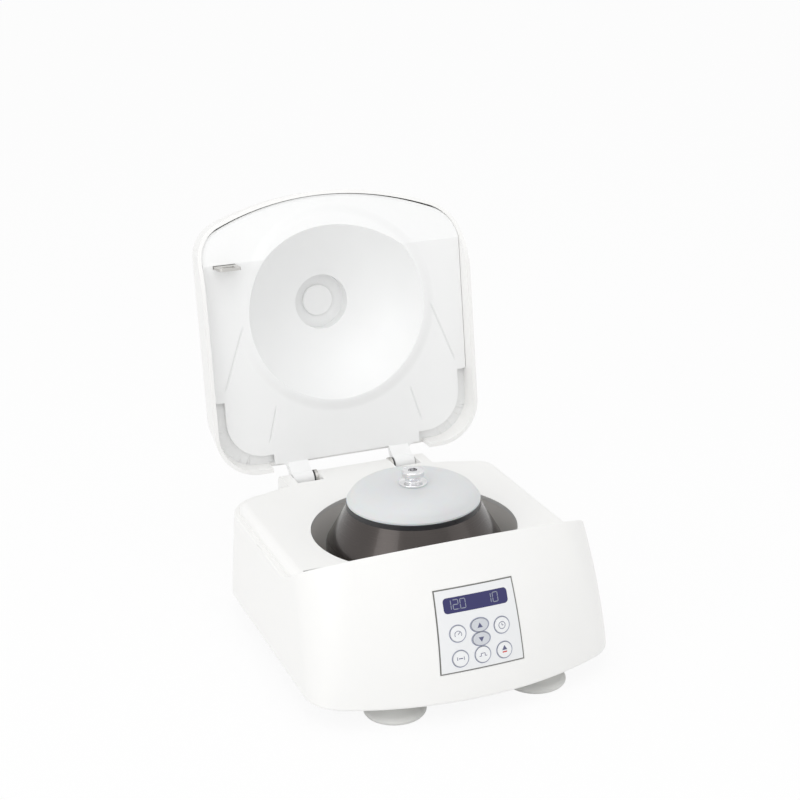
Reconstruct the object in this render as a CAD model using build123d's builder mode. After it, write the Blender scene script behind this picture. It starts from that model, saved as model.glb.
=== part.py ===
from build123d import *
from math import asin, atan2, cos, degrees, radians, sin, sqrt, tan
import os

os.makedirs("parts", exist_ok=True)

# Driving dimensions, in millimetres. The floor is z = 0, +X is to the right seen from the
# front, +Y is to the back. The rotor turns about a vertical line ahead of the box's middle.
axis_y = -43.1
open_angle = 96.5

# Housing skin: bowed front, straight sides, large rear corners
foot_height = 14.0
deck_z = 85.5
ledge_drop = 7.2
ledge_z = deck_z - ledge_drop
half_width = 105.5
side_lean = 0.05
front_reach = 117.7
front_bulge = 200.0
front_bow = 217.0
front_corner = 28.0
corner_growth = 0.19
rear_reach = 120.0
rear_lean = 0.1
rear_corner = 34.0
housing_wall = 2.8
housing_top = 113.0
housing_steps = 4
bottom_round = 2.0
crest_round = 1.0

# Top of the housing: flat deck, ledge for the lid's rim, ramp up to the front ridge
ramp_start = 42.0
ramp_angle = 30.0
ledge_blend = 40.0
deck_half_width = half_width - 7.1
deck_rear = 115.0
deck_rear_bow = 217.0
deck_rear_corner = 15.0
shoulder_round = 6.4

# Lid
lid_rim_gap = 0.5
lid_half_width = half_width - 3.1
lid_side_lean = 0.14
lid_front = 87.6
lid_front_lean = 0.1
lid_rear = 112.0
lid_height = 57.0
lid_corner = 27.0
lid_rear_corner = 32.0
lid_top_round = 24.0
lid_wall = 2.8
notch_half_width = 61.0
liner_gap = 2.5
liner_thickness = 2.5
liner_step_start = 57.5
dome_radius = 68.4
dome_sphere = 75.5
dome_wall = 2.0
pocket_radius = 20.5
liner_half_width = lid_half_width - 5.4
liner_front = 80.4
liner_corner = 22.0
liner_rear_half_width = lid_half_width - 11.6
liner_rear_reach = 101.0
liner_rear_corner = 28.0
liner_tail_half_width = 57.0
notch_front = 95.0
notch_rise = 6.0
lid_post_places = ((82.0, -18.0), (82.0, 40.0), (68.0, 86.0))
lid_post_radius = 4.0
pocket_depth = 10.5
window_radius = 11.8
window_thickness = 2.0

# Hinge
hinge_back = 121.3
hinge_drop = 4.7
liner_tail_reach = hinge_back - 12.7
pin_radius = 2.5
running_gap = 0.05
barrel_radius = 6.2
arm_inner = 32.0
arm_outer = 47.4
bracket_inner = 28.2
bracket_thickness = 2.4
bracket_radius = 6.0
arm_root = 93.0
arm_rise = 2.5
arm_blend = 6.0
ear_inner = 48.0
hump_half_width = 56.0
hump_front = 100.0
pocket_front = 105.0
washer_radius = 5.5
pin_end = 54.0
hump_back = 128.6
hump_round = 7.0
hump_bottom = 52.0
pocket_clearance = 1.2

# Chamber and rotor, turned about the rotor's axis
bowl_radius = 70.0
bowl_wall = 1.6
bowl_draft = 3.0
bowl_floor_z = 38.0
bowl_corner = 9.0
bowl_core_radius = 27.5
bowl_core_top = 63.0
rotor_radius = 60.0
rotor_rim_radius = 45.6
rotor_rim_rise = 16.0
rotor_rim_z = deck_z + rotor_rim_rise
rotor_drop = 36.0
rotor_bottom_z = deck_z - rotor_drop
rotor_belt_top = 10.0
rotor_belt_bottom = 20.0
rotor_foot_drop = 29.0
rotor_foot_reach = 14.0
tube_count = 12
tube_radius = 5.6
tube_depth = 31.0
tube_tip = 5.0
tube_circle = 28.0
rotor_hub_radius = 11.0
rotor_hub_top = deck_z - 2.0
rotor_hub_bottom = deck_z - 19.5
rim_band_height = 3.6
lid_disc_radius = 45.2
lid_disc_edge = 2.4
lid_disc_rim = 1.2
lid_disc_rise = 11.2
lid_disc_wall = 2.0
lid_disc_crown = ((41.6, 6.4), (36.5, 9.8), (27.0, 11.9))
lid_disc_rounds = (10.0, 16.0, 40.0)
shaft_radius = 4.0
cone_drop = 27.0
rim_band = 2.6
rim_band_width = 2.4
rotor_under_gap = 3.0
nut_radius = 9.0
nut_height = 8.0
stud_rise = 36.0
stud_top_z = deck_z + stud_rise
lid_disc_dish = 12.0
lid_disc_clearance = 0.4
knob_waist_radius = 5.5
knob_socket_radius = 3.4
knob_socket_depth = 3.4
seal_neck_radius = 7.0
seal_flange_radius = 9.0
seal_lip = 1.4
bowl_overlap = 0.4
bowl_core_draft = 2.0
stator_z = 37.0
stator_height = 13.0
stator_bore_radius = 16.0
stator_slots = 12
stud_radius = 4.0
knob_radius = 7.6
knob_flange_radius = 9.8
knob_rise = 40.6
knob_top_z = deck_z + knob_rise
knob_flange_height = 1.6
knob_foot_height = 2.4
knob_waist_height = 4.8
knob_head_height = 6.0

# Motor and its mounting
motor_radius = 24.0
motor_wall = 1.8
motor_bottom_z = 27.0
motor_top_z = 59.5
plate_thickness = 2.5
base_plate_z = 15.0
base_plate_thickness = 3.0
base_plate_gap = 0.6
damper_radius = 6.0
damper_reach = 31.0
bearing_radius = 9.5
bearing_height = 6.0
motor_plate_width = 76.0
motor_plate_corner = 8.0

# Latch
hook_x = 23.3 - half_width
hook_y = 40.6
hook_width = 16.0
hook_thickness = 2.0
hook_reach = 15.0
bolt_drop = 9.5
hook_hole_width = 8.4
hook_hole_height = 6.4
hook_flange = 12.0
hook_flange_thickness = 1.5
slot_width = 19.0
slot_depth = 6.4
lock_wall = 2.0
lock_height = 26.0
bolt_width = 7.0
bolt_height = 4.6
bolt_length = 24.0
bolt_gap = 0.3
solenoid_width = 15.0
solenoid_height = 12.8
solenoid_length = 25.0
bolt_rest = 1.2

# Control panel, on the bulging front
panel_mid_z = 60.2
panel_top_width = 53.6
panel_bottom_width = 57.3
panel_height = 53.0
panel_thickness = 0.8
panel_proud = 0.25
panel_gap = 0.3
key_radius = 4.9
key_gap = 0.25
key_travel = 0.4
key_proud = 0.9
key_stem = 2.6
key_side = 15.0
key_rows = (-2.0, -18.0)
arrow_rows = (0.9, -7.9)
arrow_width = 5.5
arrow_height = 4.0
display_width = 43.6
display_height = 9.8
display_mid = 16.0
display_round = 2.5
stem_depth = 6.2
mat_width = 42.0
mat_height = 31.0
mat_mid = -9.0
module_front = 6.8
module_height = 12.8
module_width = 46.6

# Feet
foot_x = 49.5
foot_front = 85.7
foot_rear = 82.0
foot_radius = 20.9
foot_disc_height = 7.0
neck_radius = 10.0
neck_top_radius = 12.5
screw_radius = 2.0
foot_screw_z = 2.4
foot_screw_recess = 4.8
foot_recess_radius = 4.2

# Bosses, posts and vents
boss_x = half_width - 8.5
boss_front = 64.0
boss_rear = 78.0
boss_radius = 5.0
boss_height = 30.0
screw_depth = 12.0
post_radius = 2.6
board_depth = 9.4
board_thickness = 1.6
board_post_x = 26.5
board_post_y = 22.0
board_post_height = 4.8
board_width = 58.0
board_height = 50.0
board_screw_radius = 1.1
board_screw_depth = 3.6
board_screw_head = 1.2
boss_screw_radius = 1.5
screw_head = 2.0
screw_head_growth = 1.6
screw_clearance = 0.1
vent_x = 68.0
vent_pitch = 6.0
vent_count = 6
vent_width = 2.6
vent_length = 34.0
board_x = 60.0
board_y = 64.0
main_board_width = 60.0
main_board_length = 46.0
standoff_x = 25.0
standoff_y = 18.0
standoff_height = 5.0
component_pitch = 18.0
component_width = 8.0
component_height = 6.0
supply_x = -58.0
supply_y = 92.0
supply_width = 56.0
supply_depth = 34.0
supply_height = 30.0

# Rear fittings
inlet_x = 62.0
inlet_z = 34.0
inlet_width = 27.0
inlet_height = 20.0
inlet_depth = 20.0
inlet_room_depth = 15.0
inlet_wall = 1.5
inlet_chamfer = 4.0
blade_width = 2.0
blade_height = 4.0
blade_length = 11.0
blade_side = 7.0
blade_rise = 2.4
flange_reach = 2.2
flange_thickness = 1.8
switch_x = 22.0
switch_width = 20.0
switch_height = 17.0
switch_depth = 14.0
switch_wall = 1.1
rocker_half_height = 6.9
rocker_depth = 5.0
rocker_rise = 2.0
rocker_dip = 1.2
rocker_pivot_depth = 1.0
rocker_pin_radius = 1.2
rocker_tilt = 12.0

# Lines and planes that the pieces share
overcut = 1.0
panel_low_z = panel_mid_z - panel_height / 2 - 6.0
panel_high_z = panel_mid_z + panel_height / 2 + 6.0
seat_gap = 0.3
thin_gap = 0.05
mat_front = stem_depth + key_travel + thin_gap
hinge_y = axis_y + hinge_back
hinge_z = deck_z - hinge_drop
hinge_axis = Axis((0, hinge_y, hinge_z), (1, 0, 0))
rotor_axis = Axis((0, axis_y, 0), (0, 0, 1))
turn_plane = Plane.XZ.offset(-axis_y)
ramp_y = axis_y - ramp_start
ramp_slope = tan(radians(ramp_angle))
ledge_fold_y = ramp_y + ledge_drop / ramp_slope
far = 200.0


def turned(*points, rounds=0):
    """A closed outline of (radius, height) points, to be turned about the rotor's axis."""
    with BuildSketch(turn_plane) as outline:
        with BuildLine():
            if rounds:
                FilletPolyline(*points, radius=rounds, close=True)
            else:
                Polyline(*points, close=True)
        make_face()
    return outline.sketch


def plan(z, width, front, rear, corner, back_corner):
    """A level outline with a bowed front, straight sides and rounded rear corners."""
    front_y = axis_y - front
    rear_y = axis_y + rear
    bow_y = front_y + front_bow
    run = width - corner
    rise = sqrt((front_bow - corner) ** 2 - run**2)
    side_y = bow_y - rise
    share = front_bow / (front_bow - corner)
    bow_end = (run * share, bow_y - rise * share)
    left_bow_end = (-bow_end[0], bow_end[1])
    with BuildSketch(Plane.XY.offset(z)) as outline:
        with BuildLine():
            ThreePointArc(left_bow_end, (0, front_y), bow_end)
            RadiusArc(bow_end, (width, side_y), -corner)
            Line((width, side_y), (width, rear_y - back_corner))
            RadiusArc((width, rear_y - back_corner), (width - back_corner, rear_y), -back_corner)
            Line((width - back_corner, rear_y), (back_corner - width, rear_y))
            RadiusArc((back_corner - width, rear_y), (-width, rear_y - back_corner), -back_corner)
            Line((-width, rear_y - back_corner), (-width, side_y))
            RadiusArc((-width, side_y), left_bow_end, -corner)
        make_face()
    return outline.sketch


def front_at(z, proud=0.0):
    """How far the front stands ahead of the rotor's axis at a height."""
    radius = front_bulge + proud
    return front_reach - front_bulge + sqrt(radius**2 - z**2)


def skin_sections(proud, low, high):
    """Level outlines of the housing's skin, moved outwards by proud."""
    sections = []
    for step in range(housing_steps):
        z = low + (high - low) * step / (housing_steps - 1)
        rise = z - foot_height
        sections.append(
            plan(
                z,
                half_width - side_lean * rise + proud,
                front_at(z, proud),
                rear_reach - rear_lean * rise + proud,
                front_corner + corner_growth * rise + proud,
                rear_corner + proud,
            )
        )
    return sections


def lid_sections(inset, low, high):
    """Level outlines of the closed lid's skin, moved inwards by inset."""
    sections = []
    for z in (low, high):
        rise = z - ledge_z
        sections.append(
            plan(
                z,
                lid_half_width - lid_side_lean * rise - inset,
                lid_front - lid_front_lean * rise - inset,
                lid_rear - lid_front_lean * rise - inset,
                lid_corner - inset,
                lid_rear_corner - inset,
            )
        )
    return sections


def below_ledge(lift):
    """Side view of all that lies under the ledge and the ramp, raised by lift."""
    with BuildSketch(Plane.YZ) as outline:
        with BuildLine():
            top = FilletPolyline(
                (far, ledge_z + lift),
                (ledge_fold_y, ledge_z + lift),
                (-far, ledge_z + lift + (ledge_fold_y + far) * ramp_slope),
                radius=ledge_blend,
            )
            Polyline(top @ 1, (-far, -far), (far, -far), top @ 0)
        make_face()
    return outline.sketch


def below_deck(lift):
    """Side view of all that lies under the deck and the ramp, raised by lift."""
    with BuildSketch(Plane.YZ) as outline:
        with BuildLine():
            Polyline(
                (far, deck_z + lift),
                (ramp_y, deck_z + lift),
                (-far, deck_z + lift + (ramp_y + far) * ramp_slope),
                (-far, -far),
                (far, -far),
                close=True,
            )
        make_face()
    return outline.sketch


def deck_outline(inset):
    """The deck behind the ramp, with its bowed rear, moved inwards by inset."""
    with BuildSketch(Plane.XY.offset(hump_bottom)) as outline:
        with Locations((0, ramp_y)):
            Rectangle(2 * (deck_half_width - inset), far, align=(Align.CENTER, Align.MIN))
        with Locations((0, axis_y + deck_rear - deck_rear_bow)):
            Circle(deck_rear_bow - inset, mode=Mode.INTERSECT)
        fillet(outline.vertices().group_by(Axis.Y)[-1], deck_rear_corner - inset)
    return outline.sketch


def hinge_circle(radius, x=0.0):
    """A disc about the hinge line, seen from the side."""
    with BuildSketch(Plane.YZ.offset(x)) as outline:
        with Locations((hinge_y, hinge_z)):
            Circle(radius)
    return outline.sketch


base_top_z = base_plate_z + base_plate_thickness
panel_lean = asin(panel_mid_z / front_bulge)
panel_y = axis_y - front_at(panel_mid_z)
panel_plane = Plane(
    origin=(0, panel_y, panel_mid_z),
    x_dir=(1, 0, 0),
    z_dir=(0, -cos(panel_lean), sin(panel_lean)),
)
keys = {
    "key_speed": (-key_side, key_rows[0]),
    "key_time": (key_side, key_rows[0]),
    "key_up": (0, arrow_rows[0]),
    "key_down": (0, arrow_rows[1]),
    "key_short": (-key_side, key_rows[1]),
    "key_pulse": (0, key_rows[1]),
    "key_start": (key_side, key_rows[1]),
}
arrow_keys = ("key_up", "key_down")
sides = (-1, 1)
rear_lean_angle = atan2(rear_lean, 1)
rear_plane = Plane(
    origin=(0, axis_y + rear_reach - rear_lean * (inlet_z - foot_height), inlet_z),
    x_dir=(-1, 0, 0),
    z_dir=(0, cos(rear_lean_angle), sin(rear_lean_angle)),
)
boss_points = [(side * boss_x, axis_y + y) for side in sides for y in (-boss_front, boss_rear)]
foot_points = [(side * foot_x, axis_y + y) for side in sides for y in (-foot_front, foot_rear)]
motor_points = [
    (side * damper_reach, axis_y + other * damper_reach) for side in sides for other in sides
]
board_points = [(side * board_post_x, other * board_post_y) for side in sides for other in sides]
standoff_points = [
    (board_x + side * standoff_x, axis_y + board_y + other * standoff_y)
    for side in sides
    for other in sides
]


def panel_outline(grow):
    """The panel's outline, a little wider at the bottom."""
    with BuildSketch(panel_plane) as outline:
        with BuildLine():
            Polyline(
                (-panel_top_width / 2 - grow, panel_height / 2 + grow),
                (panel_top_width / 2 + grow, panel_height / 2 + grow),
                (panel_bottom_width / 2 + grow, -panel_height / 2 - grow),
                (-panel_bottom_width / 2 - grow, -panel_height / 2 - grow),
                close=True,
            )
        make_face()
    return outline.sketch


def key_outline(name, grow):
    """A key's outline: a circle, or an upright oval for an arrow key."""
    with BuildSketch(panel_plane) as outline:
        with Locations(keys[name]):
            if name in arrow_keys:
                Ellipse(arrow_width + grow, arrow_height + grow)
            else:
                Circle(key_radius + grow)
    return outline.sketch


def display_outline(grow):
    """The display window's outline."""
    with BuildSketch(panel_plane) as outline:
        with Locations((0, display_mid)):
            RectangleRounded(display_width + 2 * grow, display_height + 2 * grow, display_round)
    return outline.sketch


# Room inside the housing
with BuildPart() as cavity:
    loft(skin_sections(-housing_wall, foot_height - overcut, housing_top))
    extrude(below_ledge(-housing_wall), amount=far, both=True, mode=Mode.INTERSECT)
    extrude(deck_outline(housing_wall), amount=deck_z - housing_wall - hump_bottom)

# Seat under the panel: all that stands proud of the panel's back face
with BuildPart() as panel_core:
    loft(skin_sections(panel_proud - panel_thickness, panel_low_z, panel_high_z))
with BuildPart() as panel_face:
    loft(skin_sections(panel_proud, panel_low_z, panel_high_z))
with BuildPart() as key_face:
    loft(skin_sections(key_proud, panel_low_z, panel_high_z))
with BuildPart() as panel_cut:
    extrude(panel_outline(panel_gap), amount=board_depth, both=True)
    add(panel_core.part, mode=Mode.SUBTRACT)

pocket_floor_z = hinge_z - barrel_radius - pocket_clearance
pocket_front_y = axis_y + pocket_front

# Housing: one moulded shell with front, sides, back, deck and hinge hump
with BuildPart() as housing:
    loft(skin_sections(0, foot_height, housing_top))
    extrude(below_ledge(0), amount=far, both=True, mode=Mode.INTERSECT)
    fillet(housing.edges().group_by(Axis.Z)[0], bottom_round)
    rim_edges = housing.edges().filter_by(lambda edge: edge.bounding_box().min.Z > ledge_z - 1)
    fillet(rim_edges.filter_by(lambda edge: edge.bounding_box().size.Y > 1), crest_round)
    extrude(deck_outline(0), amount=deck_z - hump_bottom)
    level_edges = housing.edges().filter_by(lambda edge: abs(edge.center().Z - deck_z) < 0.01)
    fillet(level_edges.filter_by(lambda edge: edge.center().Y > ramp_y + 1), shoulder_round)
    add(cavity.part, mode=Mode.SUBTRACT)
    # Hump for the hinge, with a pocket for each arm
    with BuildSketch(Plane.YZ):
        with BuildLine():
            FilletPolyline(
                (axis_y + hump_front, deck_z),
                (axis_y + hump_back, deck_z),
                (axis_y + hump_back, pocket_floor_z - housing_wall),
                (axis_y + rear_reach - housing_wall, hump_bottom),
                (axis_y + hump_front, pocket_floor_z - housing_wall),
                radius=(0, hump_round, 3.0, 0, 0),
                close=True,
            )
        make_face()
    extrude(amount=hump_half_width, both=True)
    for side in sides:
        with BuildSketch(Plane.XY.offset(pocket_floor_z)):
            with Locations((side * (bracket_inner + ear_inner) / 2, pocket_front_y)):
                Rectangle(ear_inner - bracket_inner, 60, align=(Align.CENTER, Align.MIN))
        extrude(amount=far, mode=Mode.SUBTRACT)
        extrude(
            hinge_circle(pin_radius + running_gap, side * bracket_inner),
            amount=side * (pin_end + seat_gap - bracket_inner),
            mode=Mode.SUBTRACT,
        )
    with BuildSketch(Plane.XY.offset(hump_bottom)):
        with Locations((0, axis_y + hump_front + housing_wall)):
            Rectangle(
                2 * (bracket_inner - housing_wall),
                hump_back - hump_front - 3 * housing_wall,
                align=(Align.CENTER, Align.MIN),
            )
    extrude(amount=deck_z - housing_wall - hump_bottom, mode=Mode.SUBTRACT)
    # Round opening over the chamber
    with BuildSketch(Plane.XY.offset(deck_z - 10)):
        with Locations((0, axis_y)):
            Circle(bowl_radius)
    extrude(amount=far, mode=Mode.SUBTRACT)
    # Slot for the latch hook
    with BuildSketch(Plane.XY.offset(deck_z - 10)):
        with Locations((hook_x, axis_y - hook_y)):
            Rectangle(slot_width, slot_depth)
    extrude(amount=far, mode=Mode.SUBTRACT)

    # Bosses for the base plate's screws, and posts for the display board
    with BuildSketch(Plane.XY.offset(base_top_z)):
        with Locations(*boss_points):
            Circle(boss_radius)
    extrude(amount=boss_height)
    with BuildSketch(panel_plane.offset(-board_depth)):
        with Locations(*board_points):
            Circle(post_radius)
    extrude(amount=board_post_height)
    # Seat for the panel, and the holes behind its window and keys
    add(panel_cut.part, mode=Mode.SUBTRACT)
    extrude(display_outline(panel_gap), amount=board_depth, both=True, mode=Mode.SUBTRACT)
    for name in keys:
        with BuildSketch(panel_plane):
            with Locations(keys[name]):
                Circle(key_stem + key_gap)
        extrude(amount=board_depth, both=True, mode=Mode.SUBTRACT)
    # Screw holes in the bosses, and cut-outs for the rear fittings
    with BuildSketch(Plane.XY.offset(base_top_z)):
        with Locations(*boss_points):
            Circle(boss_screw_radius + thin_gap)
    extrude(amount=screw_depth, mode=Mode.SUBTRACT)
    with BuildSketch(panel_plane.offset(-board_depth)):
        with Locations(*board_points):
            Circle(board_screw_radius + thin_gap)
    extrude(amount=board_screw_depth, mode=Mode.SUBTRACT)
    with BuildSketch(rear_plane):
        with Locations((-inlet_x, 0)):
            Rectangle(inlet_width + 2 * seat_gap, inlet_height + 2 * seat_gap)
        with Locations((-switch_x, 0)):
            Rectangle(switch_width + 2 * seat_gap, switch_height + 2 * seat_gap)
    extrude(amount=inlet_depth / 2, both=True, mode=Mode.SUBTRACT)

housing.part.label = "housing"
export_step(housing.part, "parts/housing.step")

# Base plate that closes the housing from below
with BuildPart() as base_plate:
    outline = skin_sections(-housing_wall - base_plate_gap, base_plate_z, housing_top)[0]
    extrude(outline, amount=base_plate_thickness)
    with BuildSketch(Plane.XY.offset(base_plate_z)):
        with Locations(*boss_points, *foot_points, *motor_points):
            Circle(screw_radius + screw_clearance)
    extrude(amount=far, both=True, mode=Mode.SUBTRACT)
    with BuildSketch(Plane.XY.offset(base_top_z)):
        with Locations(*standoff_points):
            Circle(post_radius)
    extrude(amount=standoff_height)
    with BuildSketch(Plane.XY.offset(base_plate_z)):
        for side in sides:
            with Locations((side * vent_x, axis_y)):
                with GridLocations(vent_pitch, 0, vent_count, 1):
                    SlotOverall(vent_length, vent_width, rotation=90)
    extrude(amount=base_plate_thickness, mode=Mode.SUBTRACT)
    with BuildSketch(Plane.XY.offset(base_top_z + standoff_height - board_screw_depth)):
        with Locations(*standoff_points):
            Circle(board_screw_radius + thin_gap)
    extrude(amount=board_screw_depth, mode=Mode.SUBTRACT)

base_plate.part.label = "base_plate"
export_step(base_plate.part, "parts/base_plate.step")

with BuildPart() as base_screws:
    with BuildSketch(Plane.XY.offset(base_plate_z - screw_head)):
        with Locations(*boss_points):
            Circle(boss_screw_radius + screw_head_growth)
    extrude(amount=screw_head)
    with BuildSketch(Plane.XY.offset(base_plate_z)):
        with Locations(*boss_points):
            Circle(boss_screw_radius)
    extrude(amount=base_plate_thickness + screw_depth - overcut)

base_screws.part.label = "base_screws"
export_step(base_screws.part, "parts/base_screws.step")

# Feet: rubber discs under tapered necks, each held by a long screw
with BuildPart() as rubber_feet:
    for point in foot_points:
        with BuildSketch(Plane(origin=(*point, 0), x_dir=(1, 0, 0), z_dir=(0, -1, 0))):
            with BuildLine():
                FilletPolyline(
                    (foot_recess_radius, 0),
                    (foot_radius - 1.6, 0),
                    (foot_radius, 2.2),
                    (foot_radius - 2.4, 4.4),
                    (neck_radius + 1.5, foot_disc_height),
                    (screw_radius + screw_clearance, foot_disc_height),
                    (screw_radius + screw_clearance, foot_screw_recess),
                    (foot_recess_radius, foot_screw_recess),
                    radius=(0, 1.0, 1.6, 4.0, 0, 0, 0, 0),
                    close=True,
                )
            make_face()
        revolve(axis=Axis((point[0], point[1], 0), (0, 0, 1)))

rubber_feet.part.label = "rubber_feet"
export_step(rubber_feet.part, "parts/rubber_feet.step")

# Tapered necks between the housing and the rubber discs
with BuildPart() as foot_necks:
    with BuildSketch(Plane.XY.offset(foot_disc_height)):
        with Locations(*foot_points):
            Circle(neck_radius)
    extrude(
        amount=base_plate_z - foot_disc_height,
        taper=-degrees(atan2(neck_top_radius - neck_radius, base_plate_z - foot_disc_height)),
    )
    with BuildSketch(Plane.XY):
        with Locations(*foot_points):
            Circle(screw_radius + screw_clearance)
    extrude(amount=far, mode=Mode.SUBTRACT)

foot_necks.part.label = "foot_necks"
export_step(foot_necks.part, "parts/foot_necks.step")

with BuildPart() as foot_screws:
    with BuildSketch(Plane.XY.offset(foot_screw_z)):
        with Locations(*foot_points):
            Circle(screw_radius + screw_head_growth)
    extrude(amount=foot_screw_recess - foot_screw_z)
    with BuildSketch(Plane.XY.offset(foot_screw_z)):
        with Locations(*foot_points):
            Circle(screw_radius)
    extrude(amount=base_top_z - foot_screw_z)

foot_screws.part.label = "foot_screws"
export_step(foot_screws.part, "parts/foot_screws.step")

# Chamber bowl under the deck, with a raised middle over the motor
bowl_slope = bowl_draft / (deck_z - bowl_floor_z)
bowl_high_z = housing_top
bowl_high_radius = bowl_radius + bowl_overlap + bowl_slope * (bowl_high_z - deck_z)
bowl_low_radius = bowl_radius + bowl_overlap - bowl_draft
with BuildPart() as chamber_bowl:
    revolve(
        turned(
            (seal_neck_radius, bowl_core_top),
            (bowl_core_radius, bowl_core_top),
            (bowl_core_radius + bowl_core_draft, bowl_floor_z),
            (bowl_low_radius, bowl_floor_z),
            (bowl_high_radius, bowl_high_z),
            (bowl_high_radius + bowl_wall, bowl_high_z),
            (bowl_low_radius + bowl_wall, bowl_floor_z - bowl_wall),
            (bowl_core_radius + bowl_core_draft - bowl_wall, bowl_floor_z - bowl_wall),
            (bowl_core_radius - bowl_wall, bowl_core_top - bowl_wall),
            (seal_neck_radius, bowl_core_top - bowl_wall),
            rounds=(0, 3.0, 3.0, bowl_corner, 0, 0, bowl_corner + bowl_wall, 1.5, 1.5, 0),
        ),
        axis=rotor_axis,
    )
    extrude(below_deck(-housing_wall - seat_gap), amount=far, both=True, mode=Mode.INTERSECT)

chamber_bowl.part.label = "chamber_bowl"
export_step(chamber_bowl.part, "parts/chamber_bowl.step")

# Rubber seal where the drive shaft comes through the bowl
with BuildPart() as shaft_seal:
    revolve(
        turned(
            (shaft_radius + seat_gap, bowl_core_top - bowl_wall - seal_lip),
            (seal_flange_radius, bowl_core_top - bowl_wall - seal_lip),
            (seal_flange_radius, bowl_core_top - bowl_wall),
            (seal_neck_radius, bowl_core_top - bowl_wall),
            (seal_neck_radius, bowl_core_top),
            (seal_flange_radius, bowl_core_top),
            (seal_flange_radius - 1.0, bowl_core_top + seal_lip),
            (shaft_radius + seat_gap, bowl_core_top + seal_lip),
        ),
        axis=rotor_axis,
    )

shaft_seal.part.label = "shaft_seal"
export_step(shaft_seal.part, "parts/shaft_seal.step")

# Motor: can, end cap, two bearings and stator
cap_top_z = motor_bottom_z + plate_thickness
bearing_fit_radius = bearing_radius - thin_gap
can_bearing_z = motor_top_z - plate_thickness - bearing_height
with BuildPart() as motor_can:
    revolve(
        turned(
            (shaft_radius + 2.0, motor_top_z),
            (motor_radius, motor_top_z),
            (motor_radius, cap_top_z),
            (motor_radius - motor_wall, cap_top_z),
            (motor_radius - motor_wall, motor_top_z - motor_wall),
            (bearing_radius + 2.0, motor_top_z - motor_wall),
            (bearing_radius + 2.0, can_bearing_z),
            (bearing_radius, can_bearing_z),
            (bearing_radius, motor_top_z - plate_thickness),
            (shaft_radius + 2.0, motor_top_z - plate_thickness),
        ),
        axis=rotor_axis,
    )
    fillet(motor_can.edges().group_by(Axis.Z)[-1].sort_by(SortBy.LENGTH)[-1], 1.2)

motor_can.part.label = "motor_can"
export_step(motor_can.part, "parts/motor_can.step")

with BuildPart() as motor_end_cap:
    revolve(
        turned(
            (0, motor_bottom_z),
            (motor_radius, motor_bottom_z),
            (motor_radius, cap_top_z),
            (bearing_radius + 2.0, cap_top_z),
            (bearing_radius + 2.0, cap_top_z + bearing_height),
            (bearing_radius, cap_top_z + bearing_height),
            (bearing_radius, cap_top_z),
            (0, cap_top_z),
        ),
        axis=rotor_axis,
    )

motor_end_cap.part.label = "motor_end_cap"
export_step(motor_end_cap.part, "parts/motor_end_cap.step")

with BuildPart() as motor_bearings:
    for z in (cap_top_z, can_bearing_z):
        with BuildSketch(Plane.XY.offset(z)):
            with Locations((0, axis_y)):
                Circle(bearing_fit_radius)
                Circle(shaft_radius + thin_gap, mode=Mode.SUBTRACT)
        extrude(amount=bearing_height)

motor_bearings.part.label = "motor_bearings"
export_step(motor_bearings.part, "parts/motor_bearings.step")

with BuildPart() as motor_stator:
    with BuildSketch(Plane.XY.offset(stator_z)):
        with Locations((0, axis_y)):
            Circle(motor_radius - motor_wall - thin_gap)
            Circle(stator_bore_radius, mode=Mode.SUBTRACT)
            with PolarLocations(stator_bore_radius + 1.6, stator_slots):
                Circle(1.2, mode=Mode.SUBTRACT)
    extrude(amount=stator_height)

motor_stator.part.label = "motor_stator"
export_step(motor_stator.part, "parts/motor_stator.step")

# Motor's mounting plate on four rubber dampers, with the screws that hold it
with BuildPart() as motor_plate:
    with BuildSketch(Plane.XY.offset(motor_bottom_z - plate_thickness)):
        with Locations((0, axis_y)):
            RectangleRounded(motor_plate_width, motor_plate_width, motor_plate_corner)
        with Locations(*motor_points):
            Circle(screw_radius + screw_clearance, mode=Mode.SUBTRACT)
    extrude(amount=plate_thickness)

motor_plate.part.label = "motor_plate"
export_step(motor_plate.part, "parts/motor_plate.step")

with BuildPart() as motor_dampers:
    with BuildSketch(Plane.XY.offset(base_top_z)):
        with Locations(*motor_points):
            Circle(damper_radius)
            Circle(screw_radius + screw_clearance, mode=Mode.SUBTRACT)
    extrude(amount=motor_bottom_z - plate_thickness - base_top_z)

motor_dampers.part.label = "motor_dampers"
export_step(motor_dampers.part, "parts/motor_dampers.step")

with BuildPart() as motor_screws:
    with BuildSketch(Plane.XY.offset(base_plate_z)):
        with Locations(*motor_points):
            Circle(screw_radius)
    extrude(amount=motor_bottom_z - base_plate_z)
    with BuildSketch(Plane.XY.offset(motor_bottom_z)):
        with Locations(*motor_points):
            Circle(screw_radius + screw_head_growth)
    extrude(amount=screw_head)
    with BuildSketch(Plane.XY.offset(motor_bottom_z + screw_head)):
        with Locations(*motor_points):
            RegularPolygon(1.5, 6)
    extrude(amount=-1.2, mode=Mode.SUBTRACT)

motor_screws.part.label = "motor_screws"
export_step(motor_screws.part, "parts/motor_screws.step")

# Drive shaft and the motor's armature, which turn with the rotor
with BuildPart() as drive_shaft:
    with BuildSketch(Plane.XY.offset(cap_top_z + 0.5)):
        with Locations((0, axis_y)):
            Circle(shaft_radius)
    extrude(amount=deck_z + 2.0 - cap_top_z - 0.5)

drive_shaft.part.label = "drive_shaft"
export_step(drive_shaft.part, "parts/drive_shaft.step")

with BuildPart() as armature:
    with BuildSketch(Plane.XY.offset(stator_z + 1.0)):
        with Locations((0, axis_y)):
            Circle(stator_bore_radius - 0.5)
            Circle(shaft_radius + thin_gap, mode=Mode.SUBTRACT)
    extrude(amount=stator_height - 2.0)

armature.part.label = "armature"
export_step(armature.part, "parts/armature.step")

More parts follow.
